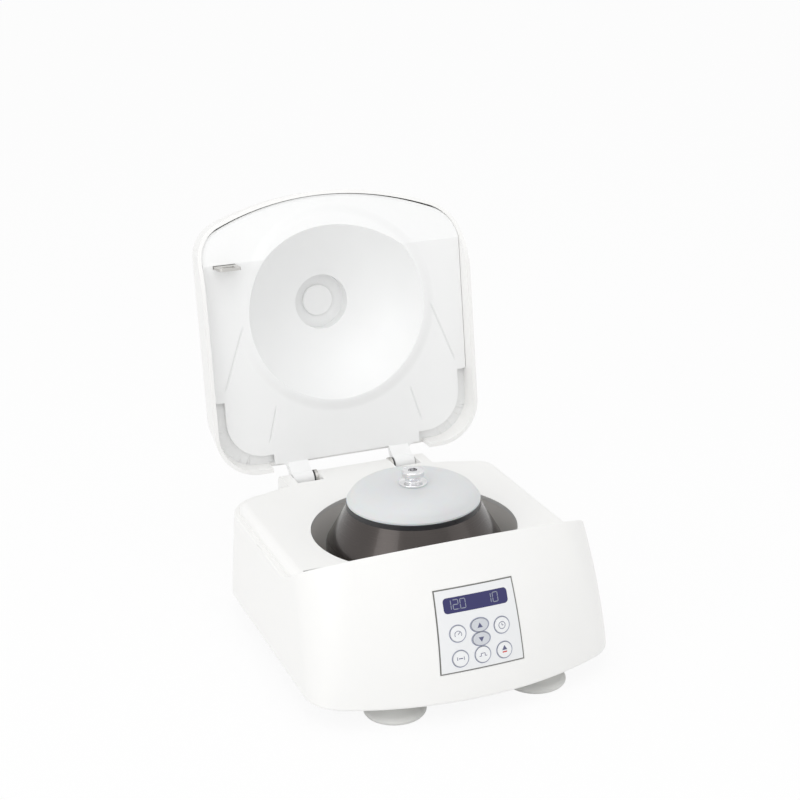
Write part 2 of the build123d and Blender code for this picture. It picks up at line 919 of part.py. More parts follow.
# Fixed-angle rotor with a ring of slanted tube bores
tube_plane = Plane(
    origin=(tube_circle, axis_y, deck_z + tube_circle - cone_drop),
    x_dir=(0, 1, 0),
    z_dir=(1, 0, -1),
)
with BuildPart() as tube_bore:
    with BuildSketch(tube_plane.offset(-tube_depth / 5)):
        Circle(tube_radius)
    extrude(amount=tube_depth * 6 / 5)
    with BuildSketch(tube_plane.offset(tube_depth)):
        Circle(tube_radius)
    with BuildSketch(tube_plane.offset(tube_depth + tube_tip)):
        Circle(tube_radius / 3)
    loft()

with BuildPart() as rotor:
    revolve(
        turned(
            (shaft_radius + thin_gap, rotor_hub_bottom),
            (shaft_radius + thin_gap, rotor_hub_top),
            (rotor_hub_radius, rotor_hub_top),
            (rotor_hub_radius, deck_z + rotor_hub_radius - cone_drop),
            (rotor_rim_radius - rim_band, rotor_rim_z),
            (rotor_rim_radius, rotor_rim_z),
            (rotor_radius - 0.6, deck_z - rotor_belt_top + 2.0),
            (rotor_radius, deck_z - rotor_belt_top),
            (rotor_radius, deck_z - rotor_belt_bottom),
            (rotor_radius - 4.0, deck_z - rotor_foot_drop),
            (rotor_radius - rotor_foot_reach, rotor_bottom_z),
            (bowl_core_radius + rotor_under_gap, rotor_bottom_z),
            (bowl_core_radius + rotor_under_gap, rotor_hub_bottom),
            rounds=(0, 0, 0.8, 0.8, 0, 0, 3.0, 3.0, 4.0, 6.0, 3.0, 0, 2.0),
        ),
        axis=rotor_axis,
    )
    for step in range(tube_count):
        add(tube_bore.part.rotate(rotor_axis, 360 / tube_count * step), mode=Mode.SUBTRACT)

rotor.part.label = "rotor"
export_step(rotor.part, "parts/rotor.step")

# Dark band round the rotor's mouth, on which the rotor's lid sits
with BuildPart() as rotor_rim_ring:
    revolve(
        turned(
            (rotor_rim_radius - rim_band_width, rotor_rim_z),
            (rotor_rim_radius, rotor_rim_z),
            (rotor_rim_radius, rotor_rim_z + rim_band_height),
            (rotor_rim_radius - rim_band_width, rotor_rim_z + rim_band_height),
            rounds=(0, 0, 0.4, 0.4),
        ),
        axis=rotor_axis,
    )

rotor_rim_ring.part.label = "rotor_rim_ring"
export_step(rotor_rim_ring.part, "parts/rotor_rim_ring.step")

# Nut that clamps the rotor to the shaft, with the stud the lid's knob screws on
with BuildPart() as rotor_nut:
    with BuildSketch(Plane.XY.offset(rotor_hub_top)):
        with Locations((0, axis_y)):
            Circle(nut_radius)
    extrude(amount=nut_height)
    with BuildSketch(Plane.XY.offset(rotor_hub_top)):
        with Locations((0, axis_y)):
            Circle(stud_radius)
    extrude(amount=stud_top_z - rotor_hub_top)
    with BuildSketch(Plane.XY.offset(rotor_hub_top)):
        with Locations((0, axis_y)):
            Circle(shaft_radius + thin_gap)
    extrude(amount=deck_z + 2.0 + seat_gap - rotor_hub_top, mode=Mode.SUBTRACT)
    chamfer(rotor_nut.edges().group_by(Axis.Z)[-1], 0.6)

rotor_nut.part.label = "rotor_nut"
export_step(rotor_nut.part, "parts/rotor_nut.step")

# Lid of the rotor: a thin domed disc with a broad crown and a flat seat for the knob
disc_z = rotor_rim_z + rim_band_height
knob_z = disc_z + lid_disc_rise
lid_disc_outside = [(radius, disc_z + rise) for radius, rise in lid_disc_crown]
lid_disc_inside = [
    (radius - lid_disc_wall / 2, disc_z + rise - lid_disc_wall) for radius, rise in lid_disc_crown
]
with BuildPart() as rotor_lid:
    revolve(
        turned(
            (stud_radius + lid_disc_clearance, knob_z - lid_disc_wall),
            (lid_disc_dish, knob_z - lid_disc_wall),
            *reversed(lid_disc_inside),
            (lid_disc_radius - lid_disc_edge, disc_z),
            (lid_disc_radius, disc_z),
            (lid_disc_radius, disc_z + lid_disc_rim),
            *lid_disc_outside,
            (lid_disc_dish, knob_z),
            (stud_radius + lid_disc_clearance, knob_z),
            rounds=(0, 20.0, *reversed(lid_disc_rounds), 0, 0, 0.5, *lid_disc_rounds, 20.0, 0),
        ),
        axis=rotor_axis,
    )

rotor_lid.part.label = "rotor_lid"
export_step(rotor_lid.part, "parts/rotor_lid.step")

with BuildPart() as lid_knob:
    revolve(
        turned(
            (stud_radius + seat_gap, knob_z),
            (knob_flange_radius, knob_z),
            (knob_flange_radius, knob_z + knob_flange_height),
            (knob_waist_radius, knob_z + knob_foot_height),
            (knob_waist_radius, knob_z + knob_waist_height),
            (knob_radius, knob_z + knob_head_height),
            (knob_radius, knob_top_z),
            (0, knob_top_z),
            (0, stud_top_z + 0.5),
            (stud_radius + seat_gap, stud_top_z + 0.5),
            rounds=(0, 0.5, 0.5, 0.6, 1.0, 0.9, 1.0, 0, 0, 0),
        ),
        axis=rotor_axis,
    )
    with BuildSketch(Plane.XY.offset(knob_top_z)):
        with Locations((0, axis_y)):
            RegularPolygon(knob_socket_radius, 6)
    extrude(amount=-knob_socket_depth, mode=Mode.SUBTRACT)

lid_knob.part.label = "lid_knob"
export_step(lid_knob.part, "parts/lid_knob.step")


def lid_block(inset):
    """The closed lid as a solid block with its skin moved inwards by inset."""
    with BuildPart() as block:
        loft(lid_sections(inset, ledge_z - inset, deck_z + lid_height - inset))
        fillet(block.edges().group_by(Axis.Z)[-1], lid_top_round - inset)
    return block.part


def dome_half(grow):
    """Half of the section through the dome and the pocket at its top."""
    with BuildSketch(turn_plane) as outline:
        with Locations((0, deck_z - dome_drop)):
            Circle(dome_sphere + grow)
        with Locations((0, pocket_top_z + grow)):
            Rectangle(2 * (pocket_radius + grow), pocket_depth + grow, align=(Align.CENTER, Align.MAX))
        with Locations((0, deck_z)):
            Rectangle(far, far, align=(Align.MIN, Align.MIN), mode=Mode.INTERSECT)
    return outline.sketch


# Lid: a deep moulded cover, drawn closed and turned open about the hinge
dome_drop = sqrt(dome_sphere**2 - dome_radius**2)
pocket_top_z = deck_z - dome_drop + sqrt(dome_sphere**2 - pocket_radius**2) + pocket_depth
liner_back_z = deck_z + liner_gap + liner_thickness
lid_outer = lid_block(0)
lid_room = lid_block(lid_wall)
lid_core = lid_block(lid_wall / 2)
with BuildPart() as lid_posts:
    with BuildSketch(Plane.XY.offset(liner_back_z)):
        for side in sides:
            with Locations(*[(side * x, axis_y + y) for x, y in lid_post_places]):
                Circle(lid_post_radius)
    extrude(amount=lid_height)
    add(lid_core, mode=Mode.INTERSECT)

with BuildPart() as lid_shell:
    add(lid_outer)
    add(lid_room, mode=Mode.SUBTRACT)
    add(lid_posts.part)
    extrude(below_ledge(lid_rim_gap), amount=far, both=True, mode=Mode.SUBTRACT)
    with BuildSketch(Plane.XY.offset(ledge_z)):
        with Locations((0, axis_y + notch_front)):
            Rectangle(2 * notch_half_width, far, align=(Align.CENTER, Align.MIN))
    extrude(amount=deck_z + notch_rise - ledge_z, mode=Mode.SUBTRACT)

lid_shell.part = lid_shell.part.rotate(hinge_axis, -open_angle)
lid_shell.part.label = "lid_shell"
export_step(lid_shell.part, "parts/lid_shell.step")

# Liner on the lid's inside, with the dome over the rotor and the two hinge arms
with BuildPart() as lid_liner:
    extrude(
        plan(deck_z, liner_half_width, liner_front, liner_step_start, liner_corner, overcut),
        amount=lid_height,
    )
    with BuildSketch(Plane.XY.offset(deck_z)) as liner_rear:
        with Locations((0, axis_y)):
            Rectangle(2 * liner_rear_half_width, liner_rear_reach, align=(Align.CENTER, Align.MIN))
        fillet(liner_rear.vertices().group_by(Axis.Y)[-1], liner_rear_corner)
        with Locations((0, axis_y)):
            Rectangle(2 * liner_tail_half_width, liner_tail_reach, align=(Align.CENTER, Align.MIN))
    extrude(amount=lid_height)
    extrude(below_deck(liner_gap + liner_thickness), amount=far, both=True, mode=Mode.INTERSECT)
    revolve(dome_half(dome_wall), axis=rotor_axis)
    extrude(below_deck(liner_gap), amount=far, both=True, mode=Mode.SUBTRACT)
    revolve(dome_half(0), axis=rotor_axis, mode=Mode.SUBTRACT)
    for side in sides:
        with BuildSketch(Plane.YZ.offset(side * arm_inner)):
            with BuildLine():
                Polyline(
                    (axis_y + arm_root, deck_z + liner_gap),
                    (axis_y + arm_root, liner_back_z + arm_rise),
                    (axis_y + arm_root + arm_rise * 5, liner_back_z + arm_rise),
                    (axis_y + liner_tail_reach, liner_back_z),
                    (hinge_y, hinge_z + barrel_radius),
                    (hinge_y - barrel_radius, hinge_z),
                    (axis_y + liner_tail_reach, deck_z + liner_gap),
                    close=True,
                )
            make_face()
            with Locations((hinge_y, hinge_z)):
                Circle(barrel_radius)
        extrude(amount=side * (arm_outer - arm_inner))
        with BuildSketch(Plane.XY.offset(deck_z + liner_gap)):
            with Locations((side * arm_outer, axis_y + liner_tail_reach)):
                Rectangle(
                    arm_blend,
                    arm_blend,
                    align=(Align.MIN if side > 0 else Align.MAX, Align.MIN),
                )
            with Locations((side * (arm_outer + arm_blend), axis_y + liner_tail_reach + arm_blend)):
                Circle(arm_blend, mode=Mode.SUBTRACT)
        extrude(amount=liner_thickness)
    extrude(
        hinge_circle(pin_radius + running_gap),
        amount=hump_half_width,
        both=True,
        mode=Mode.SUBTRACT,
    )
    with BuildSketch(Plane.XY.offset(deck_z)):
        with Locations((hook_x, axis_y - hook_y)):
            Rectangle(hook_width + 2 * seat_gap, hook_thickness + 2 * seat_gap)
    extrude(amount=liner_back_z - deck_z + overcut, mode=Mode.SUBTRACT)

lid_liner.part = lid_liner.part.rotate(hinge_axis, -open_angle)
lid_liner.part.label = "lid_liner"
export_step(lid_liner.part, "parts/lid_liner.step")

with BuildPart() as lid_window:
    with BuildSketch(Plane.XY.offset(pocket_top_z - window_thickness)):
        with Locations((0, axis_y)):
            Circle(window_radius)
    extrude(amount=window_thickness)
    chamfer(lid_window.edges().group_by(Axis.Z)[0], 0.5)

lid_window.part = lid_window.part.rotate(hinge_axis, -open_angle)
lid_window.part.label = "lid_window"
export_step(lid_window.part, "parts/lid_window.step")

# Latch hook: a bent strip through the liner, with a window for the lock's bolt
hook_top_z = liner_back_z + hook_flange_thickness
with BuildPart() as latch_hook:
    with BuildSketch(Plane.XZ.offset(hook_y - axis_y - hook_thickness / 2)):
        with Locations((hook_x, deck_z - hook_reach)):
            Rectangle(hook_width, hook_top_z - deck_z + hook_reach, align=(Align.CENTER, Align.MIN))
        with Locations((hook_x, deck_z - bolt_drop)):
            Rectangle(hook_hole_width, hook_hole_height, mode=Mode.SUBTRACT)
    extrude(amount=hook_thickness)
    fillet(
        latch_hook.edges().filter_by(Axis.Y).group_by(Axis.Z)[0],
        3.0,
    )
    with BuildSketch(Plane.XY.offset(liner_back_z)):
        with Locations((hook_x, axis_y - hook_y - hook_thickness / 2)):
            Rectangle(hook_width, hook_flange, align=(Align.CENTER, Align.MIN))
    extrude(amount=hook_flange_thickness)

latch_hook.part = latch_hook.part.rotate(hinge_axis, -open_angle)
latch_hook.part.label = "latch_hook"
export_step(latch_hook.part, "parts/latch_hook.step")

# Hinge: a steel bracket, a washer and a pin at each arm
with BuildPart() as hinge_brackets:
    for side in sides:
        extrude(hinge_circle(bracket_radius, side * bracket_inner), amount=side * bracket_thickness)
        with BuildSketch(Plane.YZ.offset(side * bracket_inner)):
            with Locations((hinge_y, hinge_z)):
                Rectangle(
                    2 * bracket_radius,
                    hinge_z - pocket_floor_z,
                    align=(Align.CENTER, Align.MAX),
                )
        extrude(amount=side * bracket_thickness)
    extrude(
        hinge_circle(pin_radius + running_gap),
        amount=hump_half_width,
        both=True,
        mode=Mode.SUBTRACT,
    )

hinge_brackets.part.label = "hinge_brackets"
export_step(hinge_brackets.part, "parts/hinge_brackets.step")

washer_inner = bracket_inner + bracket_thickness
with BuildPart() as hinge_washers:
    for side in sides:
        extrude(
            hinge_circle(washer_radius, side * washer_inner),
            amount=side * (arm_inner - washer_inner - seat_gap / 2),
        )
    extrude(
        hinge_circle(pin_radius + running_gap),
        amount=hump_half_width,
        both=True,
        mode=Mode.SUBTRACT,
    )

hinge_washers.part.label = "hinge_washers"
export_step(hinge_washers.part, "parts/hinge_washers.step")

with BuildPart() as hinge_pins:
    for side in sides:
        extrude(
            hinge_circle(pin_radius, side * bracket_inner),
            amount=side * (pin_end - bracket_inner),
        )

hinge_pins.part.label = "hinge_pins"
export_step(hinge_pins.part, "parts/hinge_pins.step")

# Lock under the deck: a well for the hook, a bolt through its wall and the solenoid
lock_top_z = deck_z - housing_wall
lock_rear_y = axis_y - hook_y + slot_depth / 2
bolt_tip_y = lock_rear_y - bolt_rest
bolt_z = deck_z - bolt_drop
solenoid_y = lock_rear_y + lock_wall
with BuildPart() as lock_well:
    with BuildSketch(Plane.XY.offset(lock_top_z - lock_height)):
        with Locations((hook_x, axis_y - hook_y)):
            Rectangle(slot_width + 2 * lock_wall, slot_depth + 2 * lock_wall)
    extrude(amount=2 * lock_height)
    with BuildSketch(Plane.XY.offset(lock_top_z - lock_height + lock_wall)):
        with Locations((hook_x, axis_y - hook_y)):
            Rectangle(slot_width, slot_depth)
    extrude(amount=2 * lock_height, mode=Mode.SUBTRACT)
    extrude(below_deck(-housing_wall), amount=far, both=True, mode=Mode.INTERSECT)
    with BuildSketch(Plane.XZ.offset(-lock_rear_y + overcut)):
        with Locations((hook_x, bolt_z)):
            Rectangle(bolt_width + 2 * bolt_gap, bolt_height + 2 * bolt_gap)
    extrude(amount=-lock_wall - 2 * overcut, mode=Mode.SUBTRACT)

lock_well.part.label = "lock_well"
export_step(lock_well.part, "parts/lock_well.step")

with BuildPart() as solenoid:
    with BuildSketch(Plane.XZ.offset(-solenoid_y)):
        with Locations((hook_x, bolt_z)):
            Rectangle(solenoid_width, solenoid_height)
    extrude(amount=-solenoid_length)
    with BuildSketch(Plane.XZ.offset(-solenoid_y)):
        with Locations((hook_x, bolt_z)):
            Rectangle(bolt_width + 2 * bolt_gap, bolt_height + 2 * bolt_gap)
    extrude(amount=-(bolt_tip_y + bolt_length + seat_gap - solenoid_y), mode=Mode.SUBTRACT)

solenoid.part.label = "solenoid"
export_step(solenoid.part, "parts/solenoid.step")

with BuildPart() as lock_bolt:
    with BuildSketch(Plane.XZ.offset(-bolt_tip_y)):
        with Locations((hook_x, bolt_z)):
            Rectangle(bolt_width, bolt_height)
    extrude(amount=-bolt_length)
    chamfer(lock_bolt.edges().group_by(Axis.Y)[0], 0.8)

lock_bolt.part.label = "lock_bolt"
export_step(lock_bolt.part, "parts/lock_bolt.step")

# Control panel: a thin curved overlay, a window and seven keys over a rubber mat
with BuildPart() as cap_floor:
    loft(skin_sections(-thin_gap, panel_low_z, panel_high_z))
with BuildPart() as panel_overlay:
    extrude(panel_outline(0), amount=board_depth, both=True)
    add(panel_face.part, mode=Mode.INTERSECT)
    add(panel_core.part, mode=Mode.SUBTRACT)
    extrude(display_outline(thin_gap), amount=board_depth, both=True, mode=Mode.SUBTRACT)
    for name in keys:
        extrude(key_outline(name, key_gap), amount=board_depth, both=True, mode=Mode.SUBTRACT)

panel_overlay.part.label = "panel_overlay"
export_step(panel_overlay.part, "parts/panel_overlay.step")

with BuildPart() as display_lens:
    extrude(display_outline(0), amount=board_depth, both=True)
    add(panel_face.part, mode=Mode.INTERSECT)
    with BuildSketch(panel_plane.offset(-module_front)):
        Rectangle(far, far)
    extrude(amount=-far, mode=Mode.SUBTRACT)

display_lens.part.label = "display_lens"
export_step(display_lens.part, "parts/display_lens.step")

for name in keys:
    with BuildPart() as key:
        extrude(key_outline(name, 0), amount=board_depth, both=True)
        add(cap_floor.part, mode=Mode.SUBTRACT)
        with BuildSketch(panel_plane.offset(-stem_depth)):
            with Locations(keys[name]):
                Circle(key_stem)
        extrude(amount=board_depth)
        add(key_face.part, mode=Mode.INTERSECT)
    key.part.label = name
    export_step(key.part, "parts/" + name + ".step")

with BuildPart() as keypad_mat:
    with BuildSketch(panel_plane.offset(-mat_front)):
        with Locations((0, mat_mid)):
            RectangleRounded(mat_width, mat_height, 2.0)
    extrude(amount=mat_front - board_depth)

keypad_mat.part.label = "keypad_mat"
export_step(keypad_mat.part, "parts/keypad_mat.step")

with BuildPart() as display_module:
    with BuildSketch(panel_plane.offset(-module_front)):
        with Locations((0, display_mid)):
            Rectangle(module_width, module_height)
    extrude(amount=module_front - board_depth)

display_module.part.label = "display_module"
export_step(display_module.part, "parts/display_module.step")

with BuildPart() as display_board:
    with BuildSketch(panel_plane.offset(-board_depth)):
        Rectangle(board_width, board_height)
        with Locations(*board_points):
            Circle(board_screw_radius + screw_clearance, mode=Mode.SUBTRACT)
    extrude(amount=-board_thickness)

display_board.part.label = "display_board"
export_step(display_board.part, "parts/display_board.step")

# Main board on its standoffs, with a few large components, and the power supply
main_board_z = base_top_z + standoff_height
with BuildPart() as main_board:
    with BuildSketch(Plane.XY.offset(main_board_z)):
        with Locations((board_x, axis_y + board_y)):
            Rectangle(main_board_width, main_board_length)
        with Locations(*standoff_points):
            Circle(board_screw_radius + screw_clearance, mode=Mode.SUBTRACT)
    extrude(amount=board_thickness)
    with BuildSketch(Plane.XY.offset(main_board_z + board_thickness)):
        with Locations((board_x, axis_y + board_y)):
            with GridLocations(component_pitch, 0, 3, 1):
                Rectangle(component_width, component_width)
    extrude(amount=component_height)

main_board.part.label = "main_board"
export_step(main_board.part, "parts/main_board.step")

with BuildPart() as board_screws:
    with BuildSketch(Plane.XY.offset(main_board_z + board_thickness)):
        with Locations(*standoff_points):
            Circle(2 * board_screw_radius)
    extrude(amount=board_screw_head)
    with BuildSketch(Plane.XY.offset(main_board_z + board_thickness)):
        with Locations(*standoff_points):
            Circle(board_screw_radius)
    extrude(amount=-board_thickness - board_screw_depth + overcut)
    with BuildSketch(panel_plane.offset(-board_depth - board_thickness)):
        with Locations(*board_points):
            Circle(2 * board_screw_radius)
    extrude(amount=-board_screw_head)
    with BuildSketch(panel_plane.offset(-board_depth - board_thickness)):
        with Locations(*board_points):
            Circle(board_screw_radius)
    extrude(amount=board_thickness + board_screw_depth - overcut)

board_screws.part.label = "board_screws"
export_step(board_screws.part, "parts/board_screws.step")

with BuildPart() as power_supply:
    with BuildSketch(Plane.XY.offset(base_top_z)):
        with Locations((supply_x, axis_y + supply_y)):
            RectangleRounded(supply_width, supply_depth, 2.0)
    extrude(amount=supply_height)
    chamfer(power_supply.edges().group_by(Axis.Z)[-1], 1.0)

power_supply.part.label = "power_supply"
export_step(power_supply.part, "parts/power_supply.step")

# Mains inlet in the rear wall
with BuildPart() as power_inlet:
    with BuildSketch(rear_plane):
        with Locations((-inlet_x, 0)):
            RectangleRounded(inlet_width + 2 * flange_reach, inlet_height + 2 * flange_reach, 2.0)
    extrude(amount=flange_thickness)
    with BuildSketch(rear_plane):
        with Locations((-inlet_x, 0)):
            Rectangle(inlet_width, inlet_height)
    extrude(amount=-inlet_depth)
    with BuildSketch(rear_plane.offset(flange_thickness)) as inlet_room:
        with Locations((-inlet_x, 0)):
            Rectangle(inlet_width - 2 * inlet_wall, inlet_height - 2 * inlet_wall)
        chamfer(inlet_room.vertices().group_by(Axis.Z)[-1], inlet_chamfer)
    extrude(amount=-inlet_room_depth, mode=Mode.SUBTRACT)
    with BuildSketch(rear_plane.offset(flange_thickness - inlet_room_depth)):
        for place in ((-blade_side, -blade_rise), (blade_side, -blade_rise), (0, blade_rise)):
            with Locations((-inlet_x + place[0], place[1])):
                Rectangle(blade_width, blade_height)
    extrude(amount=blade_length)

power_inlet.part.label = "power_inlet"
export_step(power_inlet.part, "parts/power_inlet.step")

# Power switch: a bezel in the rear wall and a rocker on two pivot stubs
pivot_plane = rear_plane.offset(flange_thickness - rocker_pivot_depth)
pivot = pivot_plane.origin + pivot_plane.x_dir * -switch_x
rocker_half_width = switch_width / 2 - switch_wall - seat_gap
with BuildPart() as switch_bezel:
    with BuildSketch(rear_plane):
        with Locations((-switch_x, 0)):
            RectangleRounded(switch_width + 2 * flange_reach, switch_height + 2 * flange_reach, 2.0)
    extrude(amount=flange_thickness)
    with BuildSketch(rear_plane):
        with Locations((-switch_x, 0)):
            Rectangle(switch_width, switch_height)
    extrude(amount=-switch_depth)
    with BuildSketch(rear_plane.offset(flange_thickness)):
        with Locations((-switch_x, 0)):
            Rectangle(switch_width - 2 * switch_wall, switch_height - 2 * switch_wall)
    extrude(amount=-switch_depth, mode=Mode.SUBTRACT)
    with BuildSketch(Plane(origin=pivot, x_dir=(0, 1, 0), z_dir=(1, 0, 0))):
        Circle(rocker_pin_radius + running_gap)
    extrude(amount=switch_width / 2, both=True, mode=Mode.SUBTRACT)

switch_bezel.part.label = "switch_bezel"
export_step(switch_bezel.part, "parts/switch_bezel.step")

rest_angle = rear_lean_angle - radians(rocker_tilt)
rocker_plane = Plane(origin=pivot, x_dir=(0, -sin(rest_angle), cos(rest_angle)), z_dir=(-1, 0, 0))
with BuildPart() as power_rocker:
    with BuildSketch(rocker_plane):
        with BuildLine():
            Polyline(
                (-rocker_half_height, rocker_rise),
                (0, rocker_dip),
                (rocker_half_height, rocker_rise),
                (rocker_half_height - 0.4, -rocker_depth / 2),
                (0, -rocker_depth),
                (0.4 - rocker_half_height, -rocker_depth / 2),
                close=True,
            )
        make_face()
    extrude(amount=rocker_half_width, both=True)
    with BuildSketch(rocker_plane):
        Circle(rocker_pin_radius)
    extrude(amount=rocker_half_width + switch_wall, both=True)

power_rocker.part.label = "power_rocker"
export_step(power_rocker.part, "parts/power_rocker.step")
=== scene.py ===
import bpy
from math import asin, cos, pi, radians, sin, sqrt
from mathutils import Matrix, Vector


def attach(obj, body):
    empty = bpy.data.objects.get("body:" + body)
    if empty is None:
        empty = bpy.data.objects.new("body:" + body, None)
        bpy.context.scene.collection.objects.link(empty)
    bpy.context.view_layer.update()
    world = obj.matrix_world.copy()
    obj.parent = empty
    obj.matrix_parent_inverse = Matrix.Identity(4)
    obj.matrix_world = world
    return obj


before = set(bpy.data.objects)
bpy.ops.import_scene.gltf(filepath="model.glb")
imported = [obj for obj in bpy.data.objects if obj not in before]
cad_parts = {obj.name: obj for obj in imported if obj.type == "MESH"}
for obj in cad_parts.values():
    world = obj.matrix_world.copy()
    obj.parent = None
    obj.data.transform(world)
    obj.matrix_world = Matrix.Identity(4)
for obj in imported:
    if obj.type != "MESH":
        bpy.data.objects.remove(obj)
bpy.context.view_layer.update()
scene = bpy.context.scene

# Camera: stands a little to the left of the front and looks down on the open instrument, as the
# photograph does. It is tilted by about a degree, and its frame is taken to be 800 x 800.
camera_place = (-0.3842, -1.0221, 0.5461)
turn, height, tilt = radians(21.02), radians(19.4), radians(-1.37)
frame_pixels, focal_pixels = 800, 1690.7
sensor_width = 36.0
camera_back = Vector((-sin(turn) * cos(height), -cos(turn) * cos(height), sin(height)))
level_right = (-camera_back).cross(Vector((0, 0, 1))).normalized()
level_up = level_right.cross(-camera_back)
camera_right = cos(tilt) * level_right + sin(tilt) * level_up
camera_up = cos(tilt) * level_up - sin(tilt) * level_right
camera_data = bpy.data.cameras.new("camera")
camera_data.sensor_width = sensor_width
camera_data.lens = focal_pixels * sensor_width / frame_pixels
camera = bpy.data.objects.new("camera", camera_data)
camera.matrix_world = Matrix.Translation(camera_place) @ Matrix(
    (camera_right, camera_up, camera_back)
).transposed().to_4x4()
scene.collection.objects.link(camera)
scene.camera = camera
scene.view_settings.view_transform = "Standard"


# Materials: each finish is one Principled shader, and the nodes before its inputs are written as
# plain sums and products of values.
class Value:
    """One output of a shader node, on which plain arithmetic adds Math nodes."""

    def __init__(self, finish, socket):
        self.finish = finish
        self.socket = socket

    def math(self, operation, *others):
        parts = dict(enumerate((self,) + others))
        return self.finish.node("ShaderNodeMath", {"operation": operation}, parts)

    def __add__(self, other):
        return self.math("ADD", other)

    def __sub__(self, other):
        return self.math("SUBTRACT", other)

    def __rsub__(self, other):
        return self.finish.node("ShaderNodeMath", {"operation": "SUBTRACT"}, {0: other, 1: self})

    def __mul__(self, other):
        return self.math("MULTIPLY", other)

    def __truediv__(self, other):
        return self.math("DIVIDE", other)

    def __pow__(self, other):
        return self.math("POWER", other)

    __radd__ = __add__
    __rmul__ = __mul__

    def least(self, other):
        return self.math("MINIMUM", other)

    def size(self):
        return self.math("ABSOLUTE")

    def fades(self, start, end):
        """1 at start and nearer, 0 at end and further."""
        span = {1: start, 2: end, 3: 1.0, 4: 0.0}
        return self.finish.node("ShaderNodeMapRange", {"clamp": True}, {0: self, **span})


class Finish:
    """A material with one Principled shader, built up node by node from a plain start."""

    def __init__(self, name, color, roughness, **fixed):
        self.material = bpy.data.materials.new(name)
        self.material.use_nodes = True
        self.tree = self.material.node_tree
        self.shader = self.tree.nodes["Principled BSDF"]
        self.set("Base Color", (*color, 1.0))
        self.set("Roughness", roughness)
        for key, value in fixed.items():
            self.set(key.replace("_", " "), value)

    def join(self, value, socket):
        if isinstance(value, Value):
            self.tree.links.new(value.socket, socket)
        else:
            socket.default_value = value

    def set(self, name, value):
        self.join(value, self.shader.inputs[name])

    def node(self, kind, settings, values, output=0):
        made = self.tree.nodes.new(kind)
        for key, value in settings.items():
            setattr(made, key, value)
        for key, value in values.items():
            self.join(value, made.inputs[key])
        return Value(self, made.outputs[output])

    def place(self):
        return self.node("ShaderNodeTexCoord", {}, {}, "Object")

    def axes(self):
        """The place's x, y and z, in metres."""
        split = self.node("ShaderNodeSeparateXYZ", {}, {0: self.place()}).socket.node
        return [Value(self, socket) for socket in split.outputs]

    def noise(self, scale, detail=2.0, place=None):
        values = {"Vector": place or self.place(), "Scale": scale, "Detail": detail}
        return self.node("ShaderNodeTexNoise", {}, values, "Fac")

    def mixed(self, share, first, second):
        values = {"Factor": share, 6: (*first, 1.0) if isinstance(first, tuple) else first}
        values[7] = (*second, 1.0) if isinstance(second, tuple) else second
        return self.node("ShaderNodeMix", {"data_type": "RGBA"}, values, 2)

    def bump(self, height, distance, strength=1.0):
        values = {"Height": height, "Distance": distance, "Strength": strength}
        self.set("Normal", self.node("ShaderNodeBump", {}, values))


def paint(finish, *names):
    for name in names:
        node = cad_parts[name]
        for place in node.material_slots:
            place.material = finish.material


# Floor, surround and light: a pale floor under a white surround, lit by one large soft lamp from
# overhead, one from the left and a weak one from the right. None of it belongs to the instrument.
surround_strength = 0.78
floor_glow = 0.9
floor_size = 12.0
white_light = (1.0, 1.0, 1.0, 1.0)


def light(name, place, target, size, power):
    """A square area lamp that looks at its target; size in metres and power in watts."""
    lamp = bpy.data.lights.new(name, "AREA")
    lamp.shape = "SQUARE"
    lamp.size = size
    lamp.energy = power
    holder = bpy.data.objects.new(name, lamp)
    holder.location = place
    holder.rotation_euler = (Vector(target) - Vector(place)).to_track_quat("-Z", "Y").to_euler()
    scene.collection.objects.link(holder)


light("lamp_above", place=(-0.3, -0.5, 1.5), target=(0, 0, 0.1), size=1.2, power=5.0)
light("lamp_left", place=(-1.4, -0.7, 0.7), target=(0, 0, 0.12), size=0.9, power=4.1)
light("lamp_right", place=(1.3, -1.0, 0.6), target=(0, 0, 0.1), size=0.9, power=1.0)


def background_rays(tree):
    """1 for rays that show the background itself: camera, glossy and transmission rays."""
    path = tree.nodes.new("ShaderNodeLightPath")
    seen = path.outputs["Is Camera Ray"]
    for kind in ("Is Glossy Ray", "Is Transmission Ray"):
        most = tree.nodes.new("ShaderNodeMath")
        most.operation = "MAXIMUM"
        tree.links.new(seen, most.inputs[0])
        tree.links.new(path.outputs[kind], most.inputs[1])
        seen = most.outputs[0]
    return seen


world = bpy.data.worlds.new("studio")
scene.world = world
world.use_nodes = True
world_tree = world.node_tree
surround = world_tree.nodes["Background"]
surround.inputs["Color"].default_value = white_light
level = world_tree.nodes.new("ShaderNodeMapRange")
world_tree.links.new(background_rays(world_tree), level.inputs["Value"])
level.inputs["To Min"].default_value = surround_strength
level.inputs["To Max"].default_value = 1.0
world_tree.links.new(level.outputs[0], surround.inputs["Strength"])

bpy.ops.object.select_all(action="DESELECT")
bpy.ops.mesh.primitive_plane_add(size=floor_size, location=(0, 0, 0))
floor = bpy.context.object
floor.name = "floor"
floor_finish = Finish("pale_floor", (0.92, 0.92, 0.92), 0.8)
lit = Value(floor_finish, background_rays(floor_finish.tree))
glow = floor_finish.node("ShaderNodeEmission", {}, {"Color": white_light, "Strength": 1.0})
own = Value(floor_finish, floor_finish.shader.outputs[0])
blend = floor_finish.node("ShaderNodeMixShader", {}, {0: lit * floor_glow, 1: own, 2: glow})
floor_finish.join(blend, floor_finish.tree.nodes["Material Output"].inputs["Surface"])
floor.data.materials.append(floor_finish.material)

